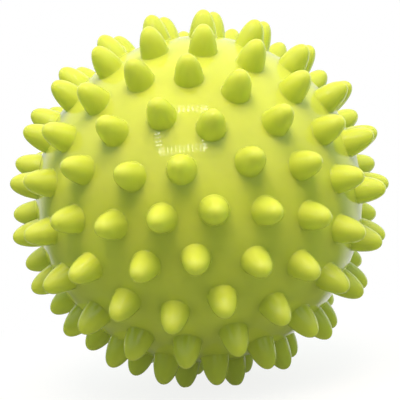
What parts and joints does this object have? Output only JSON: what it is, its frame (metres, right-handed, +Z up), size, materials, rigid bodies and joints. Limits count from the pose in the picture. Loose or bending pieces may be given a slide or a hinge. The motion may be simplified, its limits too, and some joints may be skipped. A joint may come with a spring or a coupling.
{
  "type": "spiky massage ball",
  "caption": "Hollow ball of soft plastic, moulded as two bonded half shells, with rings of blunt conical spikes all over for massage and a plugged air valve at one pole",
  "frame": {"origin": "the centre of the ball's core sphere", "axes": "+Z is up from the surface that the ball stands on; the mould axis, through both poles, runs along Y with the front pole spike at -Y and the air valve at +Y; +X is to the right seen from the front"},
  "size_m": [0.089, 0.0882, 0.088],
  "materials": {
    "soft_plastic": "glossy",
    "valve_rubber": "satin",
    "plug_plastic": "satin"
  },
  "bodies": {
    "ball": {"front_half_shell": "soft_plastic", "rear_half_shell": "soft_plastic", "valve_sleeve": "valve_rubber"},
    "plug": {"air_plug": "plug_plastic"}
  },
  "joints": [
    {"name": "plug_pull", "type": "slide", "parent": "ball", "child": "plug", "axis": [0, 1, 0], "range_m": [0, 0.02]}
  ]
}
